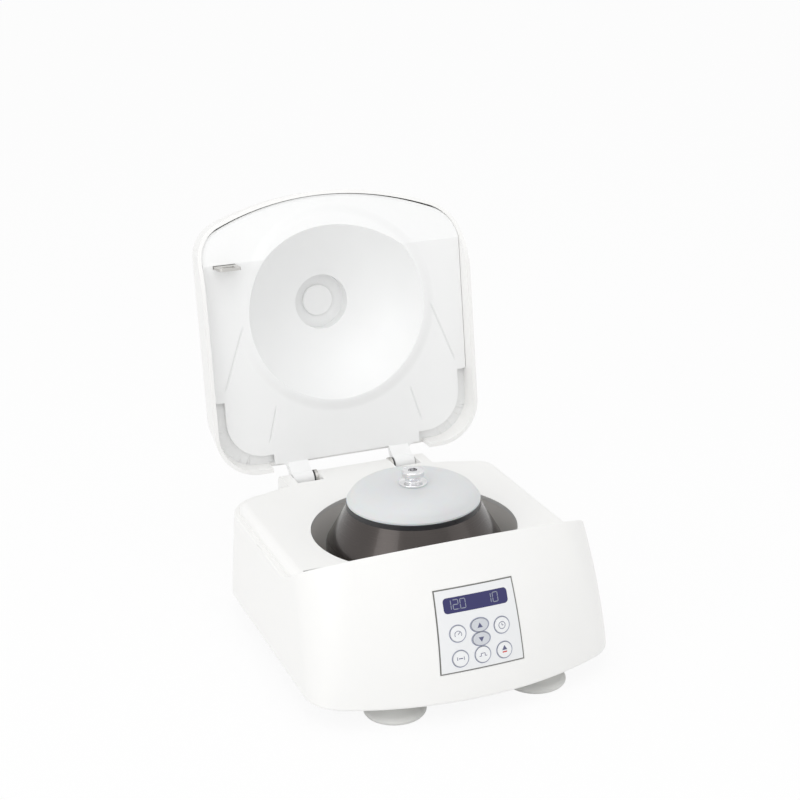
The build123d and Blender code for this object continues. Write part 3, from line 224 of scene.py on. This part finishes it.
# Housing, lid and foot necks: injection-moulded white plastic with a fine satin skin. The grain
# is a shallow bump, and handling leaves the gloss slightly uneven.
white = Finish("white_moulding", (0.91, 0.908, 0.895), 0.34, Specular_IOR_Level=0.45)
grain = white.noise(2600.0, 3.0)
cloud = white.noise(22.0)
white.set("Base Color", white.mixed(cloud, (0.90, 0.898, 0.884), (0.92, 0.918, 0.906)))
white.set("Roughness", 0.28 + 0.12 * cloud + 0.05 * grain)
white.bump(grain, 0.00002, 0.35)
paint(white, "housing", "lid_shell", "foot_necks")

# Base plate and the disc in the lid's pocket: the same plastic, a shade less warm and with a
# fainter grain than outside.
inner_white = Finish("inner_moulding", (0.905, 0.908, 0.905), 0.36, Specular_IOR_Level=0.4)
inner_cloud = inner_white.noise(30.0)
inner_white.set(
    "Base Color", inner_white.mixed(inner_cloud, (0.895, 0.898, 0.895), (0.915, 0.918, 0.915))
)
inner_white.set("Roughness", 0.32 + 0.1 * inner_cloud)
inner_white.bump(inner_white.noise(1500.0, 2.0), 0.00002, 0.25)
paint(inner_white, "base_plate", "lid_window")

# Lid liner: moulded in one piece, a shade cooler than the shell. A shallow lip rises to the dome's
# edge all round, and two slight folds on each side stiffen the flat part behind it. Along the
# folds the colour is darkened with painted shade.
axis_y = -0.0431
hinge_back, hinge_z = 0.1213, 0.0808
lid_turn = radians(-96.5)
lip_full, lip_gone, lip_height = 0.0680, 0.0760, 0.0012
long_fold = (0.072, 0.003), (0.090, 0.051)
short_fold = (0.052, 0.064), (0.060, 0.093)
fold_full, fold_gone, fold_end, fold_depth = 0.0002, 0.0009, 0.004, 0.0003
painted_fold_shade, liner_grain = 0.35, 0.000004
liner = Finish("liner_moulding", (0.905, 0.908, 0.905), 0.36, Specular_IOR_Level=0.4)
liner_x, liner_y, liner_z = liner.axes()
liner_side = liner_x.size()
# A place's reach is how far behind the rotor's axis it lies when the lid is shut.
liner_reach = cos(lid_turn) * (liner_y - (axis_y + hinge_back)) + hinge_back
liner_reach = liner_reach + sin(lid_turn) * (liner_z - hinge_z)
from_dome = (liner_side**2.0 + liner_reach**2.0) ** 0.5
lip = from_dome.fades(lip_full, lip_gone)
lip = lip * lip * (3.0 - 2.0 * lip)


def fold(start, end):
    """1 on a straight fold from start to end, on both halves of the liner, and 0 beside it."""
    run = Vector(end) - Vector(start)
    along = run.normalized()
    side, reach = liner_side - start[0], liner_reach - start[1]
    beside = (side * along.y - reach * along.x).size()
    beyond = (side * along.x + reach * along.y - run.length / 2).size()
    along_fold = beyond.fades(run.length / 2 - fold_end, run.length / 2)
    return beside.fades(fold_full, fold_gone) * along_fold


folds = fold(*long_fold) + fold(*short_fold)
liner_cloud = liner.noise(30.0)
liner_color = liner.mixed(liner_cloud, (0.895, 0.899, 0.897), (0.915, 0.919, 0.917))
# Painted shade: along the folds the liner's colour is mixed towards a darker grey.
liner.set("Base Color", liner.mixed(folds * painted_fold_shade, liner_color, (0.70, 0.71, 0.71)))
liner.set("Roughness", 0.32 + 0.1 * liner_cloud)
relief = lip_height * lip - fold_depth * folds
liner.bump(relief + liner_grain * liner.noise(1500.0, 2.0), 1.0)
paint(liner, "lid_liner")

# Edge of the liner: along its sides and front the moulding is thickened outwards until only a
# hairline is left beside the shell's wall. Behind the steps the liner is narrower, and a ledge
# inside the shell, set back from the liner's face, closes the corner between the two.
lid_up = Vector((0, -sin(lid_turn), cos(lid_turn)))
hinge_middle = Vector((0, axis_y + hinge_back, hinge_z))
side_start, front_start, corner_start, sides_end = 0.09, -0.07, 0.0955, 0.057
rear_start, rear_inside = 0.0565, 0.05
post_across, post_reach, post_clear = 0.068, 0.08, 0.02
ledge_band = (0.0925, 0.095)
edge_thickness, ledge_thickness = 0.0008, 0.0115
upright_limit = 0.3
same_point, same_cut_point = 0.00001, 0.00005
smooth_angle = radians(40)


def pick(*objects):
    """Selects these objects alone, with the first one active."""
    bpy.ops.object.select_all(action="DESELECT")
    for each in objects:
        each.select_set(True)
    bpy.context.view_layer.objects.active = objects[0]


def keep_wall(node, name, wanted, side, band=None):
    """A copy of a lid piece's upright walls on one side: 1 keeps outer faces, -1 inner ones."""
    made = bpy.data.objects.new(name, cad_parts[node].data.copy())
    scene.collection.objects.link(made)
    pick(made)
    bpy.ops.mesh.customdata_custom_splitnormals_clear()
    bpy.ops.object.mode_set(mode="EDIT")
    bpy.ops.mesh.select_mode(type="FACE")
    bpy.ops.mesh.select_all(action="SELECT")
    bpy.ops.mesh.remove_doubles(threshold=same_point)
    for level, low in zip(band or (), (True, False)):
        bpy.ops.mesh.select_all(action="SELECT")
        at = hinge_middle + lid_up * (level - hinge_z)
        bpy.ops.mesh.bisect(plane_co=at, plane_no=lid_up, clear_inner=low, clear_outer=not low)
    bpy.ops.mesh.select_all(action="SELECT")
    bpy.ops.mesh.remove_doubles(threshold=same_cut_point)
    bpy.ops.mesh.select_all(action="DESELECT")
    bpy.ops.object.mode_set(mode="OBJECT")
    for face in made.data.polygons:
        middle = face.center - hinge_middle
        reach = cos(lid_turn) * middle.y + sin(lid_turn) * middle.z + hinge_back
        facing = cos(lid_turn) * face.normal.y + sin(lid_turn) * face.normal.z
        faces_side = side * (middle.x * face.normal.x + reach * facing) > 0
        upright = abs(face.normal.dot(lid_up)) < upright_limit
        face.select = not (wanted(abs(middle.x), reach) and faces_side and upright)
    bpy.ops.object.mode_set(mode="EDIT")
    bpy.ops.mesh.delete(type="FACE")
    bpy.ops.object.mode_set(mode="OBJECT")
    return made


def thicken_wall(made, thickness):
    """Gives a wall its thickness on the side that it faces, and its finish and body."""
    thicken = made.modifiers.new("thicken", "SOLIDIFY")
    thicken.thickness = thickness
    thicken.offset = 1.0
    bpy.ops.object.modifier_apply(modifier=thicken.name)
    bpy.ops.object.shade_smooth_by_angle(angle=smooth_angle)
    made.data.materials.clear()
    made.data.materials.append(liner.material)
    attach(made, "lid")


def along_sides_and_front(across, reach):
    past_corner = across**2 + reach**2 > corner_start**2
    outside = across > side_start or reach < front_start or past_corner
    return outside and reach < sides_end


def round_rear_corners(across, reach):
    past_posts = (across - post_across) ** 2 + (reach - post_reach) ** 2 > post_clear**2
    return across > rear_inside and reach > rear_start and past_posts


edge = keep_wall("lid_liner", "liner_edge", along_sides_and_front, 1)
thicken_wall(edge, edge_thickness)
ledge = keep_wall("lid_shell", "lid_ledge", round_rear_corners, -1, ledge_band)
thicken_wall(ledge, ledge_thickness)


# Chamber bowl: spun steel, blasted to a pale satin that scatters light almost as lacquer does, so
# it is barely metallic here. Rings from the tool run round it.
def turned_rings(finish, fineness, detail):
    """Noise that runs in rings round the rotor's axis, as a turning tool leaves them."""
    x, y, z = finish.axes()
    reach = (x**2.0 + (y - axis_y) ** 2.0) ** 0.5
    values = {0: reach * fineness, 1: z * fineness, 2: 0.0}
    rings = finish.node("ShaderNodeCombineXYZ", {}, values)
    return finish.noise(1.0, detail, rings)


bowl = Finish("spun_steel", (0.93, 0.905, 0.87), 0.45, Metallic=0.08)
ring_noise = turned_rings(bowl, 1400.0, 3.0)
bowl.set("Base Color", bowl.mixed(ring_noise, (0.90, 0.875, 0.84), (0.95, 0.93, 0.90)))
bowl.set("Roughness", 0.36 + 0.16 * ring_noise)
bowl.bump(ring_noise, 0.00003, 0.4)
paint(bowl, "chamber_bowl")

# Rotor: turned from solid aluminium and hard anodised to a dark bronze grey. The lathe's fine
# rings catch the light as long streaks.
anodised = Finish("dark_anodised", (0.085, 0.074, 0.069), 0.26, Metallic=0.9, Coat_Weight=0.35)
lathe = turned_rings(anodised, 2600.0, 2.0)
patina = anodised.noise(40.0)
anodised.set("Base Color", anodised.mixed(patina, (0.052, 0.045, 0.042), (0.074, 0.064, 0.060)))
anodised.set("Roughness", 0.18 + 0.14 * lathe)
anodised.bump(lathe, 0.00002, 0.35)
paint(anodised, "rotor")

# Band round the rotor's mouth: a black moulded ring with a satin face, whose gloss is slightly
# uneven.
band = Finish("black_band", (0.022, 0.022, 0.025), 0.3)
band.set("Roughness", 0.24 + 0.12 * band.noise(300.0))
paint(band, "rotor_rim_ring")

# Lid of the rotor: frosted translucent plastic. Light spreads inside it, so the dark rotor below
# only shows as a faint grey.
frosted = Finish(
    "frosted_plastic",
    (0.82, 0.828, 0.837),
    0.38,
    Transmission_Weight=0.16,
    IOR=1.45,
    Subsurface_Weight=0.2,
    Subsurface_Scale=0.004,
)
frost = frosted.noise(900.0, 3.0)
haze = frosted.noise(35.0)
frosted.set("Base Color", frosted.mixed(haze, (0.80, 0.808, 0.818), (0.84, 0.848, 0.856)))
frosted.set("Roughness", 0.36 + 0.14 * frost)
frosted.bump(frost, 0.00003, 0.4)
paint(frosted, "rotor_lid")

# Knob: turned brass with polished chrome plate, also inside the hexagon socket in its top.
# Fingers leave its gloss slightly uneven.
plated = Finish("chrome_plate", (0.80, 0.80, 0.81), 0.07, Metallic=1.0)
plated.set("Roughness", 0.05 + 0.06 * plated.noise(400.0))
paint(plated, "lid_knob")

# Steel pieces: hinge, latch hook, screws, shaft and motor, in satin sheet or bar. The brushing
# runs from left to right.
steel = Finish("satin_steel", (0.60, 0.59, 0.57), 0.34, Metallic=1.0)
brushed_place = steel.node(
    "ShaderNodeMapping", {}, {"Vector": steel.place(), "Scale": (120.0, 2400.0, 2400.0)}
)
brushing = steel.noise(1.0, 2.0, brushed_place)
steel.set("Base Color", steel.mixed(brushing, (0.52, 0.51, 0.49), (0.66, 0.65, 0.63)))
steel.set("Roughness", 0.26 + 0.18 * brushing)
steel.bump(brushing, 0.00002, 0.3)
paint(
    steel,
    "hinge_brackets",
    "hinge_pins",
    "latch_hook",
    "lock_bolt",
    "solenoid",
    "rotor_nut",
    "drive_shaft",
    "motor_can",
    "motor_end_cap",
    "motor_bearings",
    "motor_plate",
    "motor_screws",
    "base_screws",
    "foot_screws",
    "board_screws",
)

# Stator and armature: varnished laminations, hidden inside the motor. The varnish is glossier in
# some places than in others.
iron = Finish("varnished_iron", (0.20, 0.12, 0.08), 0.5, Metallic=0.6)
iron.set("Roughness", 0.4 + 0.2 * iron.noise(200.0))
paint(iron, "motor_stator", "armature")

# Feet and keypad mat: soft pale grey rubber, with dust that lightens and dulls it in patches. The
# feet are discs that spread slightly under the weight.
rubber = Finish("grey_rubber", (0.70, 0.70, 0.68), 0.62)
dust = rubber.noise(60.0)
rubber.set("Base Color", rubber.mixed(dust, (0.66, 0.66, 0.64), (0.75, 0.75, 0.73)))
rubber.set("Roughness", 0.55 + 0.2 * dust)
rubber.bump(rubber.noise(1800.0), 0.00003, 0.4)
paint(rubber, "rubber_feet", "keypad_mat")

# Black rubber and plastic: seal, dampers, inlet, switch, lock well and other fittings, most of
# them hidden. Wear lightens them in patches.
black = Finish("black_fittings", (0.028, 0.028, 0.03), 0.42)
wear = black.noise(120.0)
black.set("Base Color", black.mixed(wear, (0.022, 0.022, 0.024), (0.042, 0.042, 0.045)))
black.set("Roughness", 0.34 + 0.2 * wear)
black.bump(black.noise(1600.0), 0.00003, 0.35)
paint(
    black,
    "shaft_seal",
    "motor_dampers",
    "power_inlet",
    "switch_bezel",
    "power_rocker",
    "lock_well",
    "hinge_washers",
    "power_supply",
    "display_module",
)

# Circuit boards: green lacquer over faint copper tracks, which lighten it in patches. Both boards
# are hidden in the housing.
board = Finish("green_lacquer", (0.03, 0.16, 0.07), 0.35)
tracks = board.noise(150.0, 4.0)
board.set("Base Color", board.mixed(tracks, (0.02, 0.12, 0.05), (0.05, 0.22, 0.10)))
paint(board, "display_board", "main_board")

# Panel overlay: a satin polyester film printed from behind with a thin ring round each key. A dark
# grey line runs round the film's edge.
front_reach, front_bow = 0.1177, 0.200
panel_z = 0.0602
panel_lean = asin(panel_z / front_bow)
panel_y = axis_y - front_reach + front_bow - sqrt(front_bow**2 - panel_z**2)
panel_top, panel_bottom, panel_tall = 0.0536, 0.0573, 0.053
key_places = {
    "key_speed": (-0.015, -0.002),
    "key_time": (0.015, -0.002),
    "key_up": (0.0, 0.0009),
    "key_down": (0.0, -0.0079),
    "key_short": (-0.015, -0.018),
    "key_pulse": (0.0, -0.018),
    "key_start": (0.015, -0.018),
}
key_radius = 0.0049
arrow_size = (0.0055, 0.004)
ring_gap, ring_full, ring_gone = 0.0005, 0.0002, 0.0004
edge_full, edge_gone = 0.0005, 0.0007


def panel_axes(finish):
    """Distances to the right and up on the panel, from its middle, in metres."""
    x, y, z = finish.axes()
    back, up = sin(panel_lean), cos(panel_lean)
    return x, y * back + z * up - (panel_y * back + panel_z * up)


def round_distance(across, up, name):
    """How far outside a key's outline a place lies, in metres."""
    place = key_places[name]
    wide, tall = arrow_size if name in ("key_up", "key_down") else (key_radius, key_radius)
    reach = (((across - place[0]) / wide) ** 2.0 + ((up - place[1]) / tall) ** 2.0) ** 0.5
    return (reach - 1.0) * min(wide, tall)


overlay = Finish("printed_film", (0.84, 0.85, 0.86), 0.3, Specular_IOR_Level=0.45)
across, up = panel_axes(overlay)
ring = None
for name in key_places:
    line = (round_distance(across, up, name) - ring_gap).size()
    ring = line if ring is None else ring.least(line)
side_slope = (panel_bottom - panel_top) / 2 / panel_tall
to_side = (panel_top + panel_bottom) / 4 - side_slope * up - across.size()
to_edge = to_side.least(panel_tall / 2 - up.size())
edge_line = to_edge.fades(edge_full, edge_gone)
print_line = ring.fades(ring_full, ring_gone)
film = overlay.mixed(print_line, (0.84, 0.85, 0.86), (0.30, 0.32, 0.42))
overlay.set("Base Color", overlay.mixed(edge_line, film, (0.16, 0.16, 0.15)))
overlay.set("Roughness", 0.26 + 0.08 * overlay.noise(500.0))
overlay.bump(overlay.noise(2200.0), 0.00001, 0.3)
paint(overlay, "panel_overlay")

# Keys: embossed domes in the same film. The two arrow keys are printed a light grey, and are
# smoother than the other five.
cap = Finish("key_film", (0.85, 0.86, 0.87), 0.3)
cap.set("Roughness", 0.24 + 0.1 * cap.noise(500.0))
cap.bump(cap.noise(2200.0), 0.00001, 0.3)
paint(cap, "key_speed", "key_time", "key_short", "key_pulse", "key_start")
grey_cap = Finish("grey_key_film", (0.62, 0.64, 0.68), 0.3)
grey_cap.set("Roughness", 0.24 + 0.1 * grey_cap.noise(500.0))
paint(grey_cap, "key_up", "key_down")

# Window of the display: clear plastic over a dark blue liquid-crystal cell, whose blue drifts a
# little from place to place.
glass = Finish("display_blue", (0.022, 0.021, 0.12), 0.16, Coat_Weight=0.12)
glass_noise = glass.noise(60.0)
glass.set("Base Color", glass.mixed(glass_noise, (0.018, 0.017, 0.110), (0.024, 0.023, 0.130)))
paint(glass, "display_lens")

# Prints on the panel: the display's digits, the two arrows and plain marks on the other keys.
# Each is a flat shape laid on the film's curve.
start_before_panel, print_rise = 0.005, 0.00003
digit_tall, digit_wide, digit_line = 0.0058, 0.0034, 0.00052
segment_gap = digit_line * 0.3
display_mid = 0.016
digit_places = (("1", -0.0185), ("2", -0.0137), ("0", -0.0089), ("1", 0.0085), ("0", 0.0133))
point_at, point_size = -0.0113, (0.0006, 0.0005)
arrow_radius, arrow_shift = 0.0021, 0.0003
tip_share = 0.49


def print_ink(name, color):
    ink = Finish(name, color, 0.35)
    ink.set("Roughness", 0.3 + 0.1 * ink.noise(700.0))
    return ink


def lay_on(shape, node, body, ink):
    """Stands a flat shape up before the panel and presses it straight back onto a CAD node."""
    shape.rotation_euler = (pi / 2 - panel_lean, 0, 0)
    shape.location = (0, panel_y - start_before_panel, panel_z)
    pick(shape)
    bpy.ops.object.transform_apply(location=True, rotation=True, scale=True)
    press = shape.modifiers.new("press", "SHRINKWRAP")
    press.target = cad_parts[node]
    press.wrap_method = "PROJECT"
    press.use_project_y = True
    press.use_positive_direction = True
    press.use_negative_direction = False
    press.offset = print_rise
    bpy.ops.object.modifier_apply(modifier=press.name)
    shape.data.materials.clear()
    shape.data.materials.append(ink.material)
    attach(shape, body)


def bar(middle, length, width, turned_by=0.0):
    """A flat bar with pointed ends, whose length runs across before it is turned."""
    bpy.ops.object.select_all(action="DESELECT")
    bpy.ops.mesh.primitive_plane_add(size=1.0)
    made = bpy.context.object
    made.scale = (length, width, 1.0)
    bpy.ops.object.transform_apply(location=False, rotation=False, scale=True)
    bpy.ops.object.mode_set(mode="EDIT")
    bpy.ops.mesh.select_all(action="SELECT")
    bpy.ops.mesh.bevel(offset=width * tip_share, affect="VERTICES", segments=1)
    bpy.ops.object.mode_set(mode="OBJECT")
    made.rotation_euler = (0, 0, turned_by)
    made.location = (*middle, 0.0)
    bpy.ops.object.transform_apply(location=True, rotation=True, scale=True)
    return made


def joined(name, shapes):
    pick(*shapes)
    bpy.ops.object.join()
    shapes[0].name = name
    return shapes[0]


segments = {
    "a": (0, 1, 0),
    "b": (0.5, 0.5, 1),
    "c": (0.5, -0.5, 1),
    "d": (0, -1, 0),
    "e": (-0.5, -0.5, 1),
    "f": (-0.5, 0.5, 1),
    "g": (0, 0, 0),
}
lit_segments = {"0": "abcdef", "1": "bc", "2": "abged"}
digit_bars = []
for digit, at in digit_places:
    for letter in lit_segments[digit]:
        side, rise, upright = segments[letter]
        middle = (at + side * digit_wide, display_mid + rise * digit_tall / 2)
        span = (digit_tall / 2 if upright else digit_wide) - segment_gap
        digit_bars.append(bar(middle, span, digit_line, pi / 2 * upright))
digit_bars.append(bar((point_at, display_mid - digit_tall / 2), *point_size))
digits = joined("display_digits", digit_bars)
lay_on(digits, "display_lens", "base", print_ink("pale_segments", (0.28, 0.30, 0.37)))


def triangle(name, points_up, lift=0.0):
    """A small solid arrow head in the middle of a key, or lift above it."""
    bpy.ops.object.select_all(action="DESELECT")
    bpy.ops.mesh.primitive_circle_add(vertices=3, radius=arrow_radius, fill_type="NGON")
    made = bpy.context.object
    made.name = name + "_mark"
    made.rotation_euler = (0, 0, 0 if points_up else pi)
    place = key_places[name]
    shift = -arrow_shift if points_up else arrow_shift
    made.location = (place[0], place[1] + lift + shift, 0)
    bpy.ops.object.transform_apply(location=True, rotation=True, scale=True)
    return made


blue_ink = print_ink("blue_grey_ink", (0.10, 0.105, 0.20))
for name, points_up in (("key_up", True), ("key_down", False)):
    lay_on(triangle(name, points_up), name, name, blue_ink)

# Marks on the round keys, printed in the same ink: a gauge, a clock, a short bar between stops, a
# pulse, and a start triangle over a red stop bar. They stand where the real keys carry words.
# Each mark is rows of a bar's middle, from the key's own, its length, its width and its turn.
mark_line, mark_radius = 0.00042, 0.0022
stop_drop, stop_size, start_lift = 0.0014, (0.0036, 0.0009), 0.0012
upright_bar, arc_overlap = pi / 2, 1.2


def arc_of_bars(drop, start, end, count):
    """Rows for short bars end to end along an arc, whose middle lies drop under the key's."""
    rows = []
    for step in range(count):
        angle = start + (end - start) * (step + 0.5) / count
        middle = (mark_radius * cos(angle), mark_radius * sin(angle) - drop)
        length = (end - start) * mark_radius / count * arc_overlap
        rows.append((middle, length, mark_line, angle + upright_bar))
    return rows


key_marks = {
    "key_speed": arc_of_bars(0.0004, -pi / 6, 7 * pi / 6, 14)
    + [((0.0006, 0.0002), 0.0020, mark_line, pi / 4)],
    "key_time": arc_of_bars(0.0, 0.0, 2 * pi, 18)
    + [
        ((0.0, 0.0007), 0.0016, mark_line, upright_bar),
        ((0.0005, 0.0), 0.0012, mark_line, 0.0),
    ],
    "key_short": [
        ((-0.0022, 0.0), 0.0024, mark_line, upright_bar),
        ((0.0022, 0.0), 0.0024, mark_line, upright_bar),
        ((0.0, 0.0), 0.0030, mark_line * 1.5, 0.0),
    ],
    "key_pulse": [
        ((-0.0020, -0.0009), 0.0014, mark_line, 0.0),
        ((-0.0013, 0.0), 0.0021, mark_line, upright_bar),
        ((0.0, 0.0009), 0.0029, mark_line, 0.0),
        ((0.0013, 0.0), 0.0021, mark_line, upright_bar),
        ((0.0020, -0.0009), 0.0014, mark_line, 0.0),
    ],
}
for name, rows in key_marks.items():
    key_x, key_y = key_places[name]
    bars = [bar((key_x + at[0], key_y + at[1]), *rest) for at, *rest in rows]
    lay_on(joined(name + "_mark", bars), name, name, blue_ink)

start_x, start_y = key_places["key_start"]
stop_bar = bar((start_x, start_y - stop_drop), *stop_size)
stop_bar.name = "key_stop_mark"
lay_on(stop_bar, "key_start", "key_start", print_ink("red_ink", (0.62, 0.06, 0.05)))
lay_on(triangle("key_start", True, start_lift), "key_start", "key_start", blue_ink)
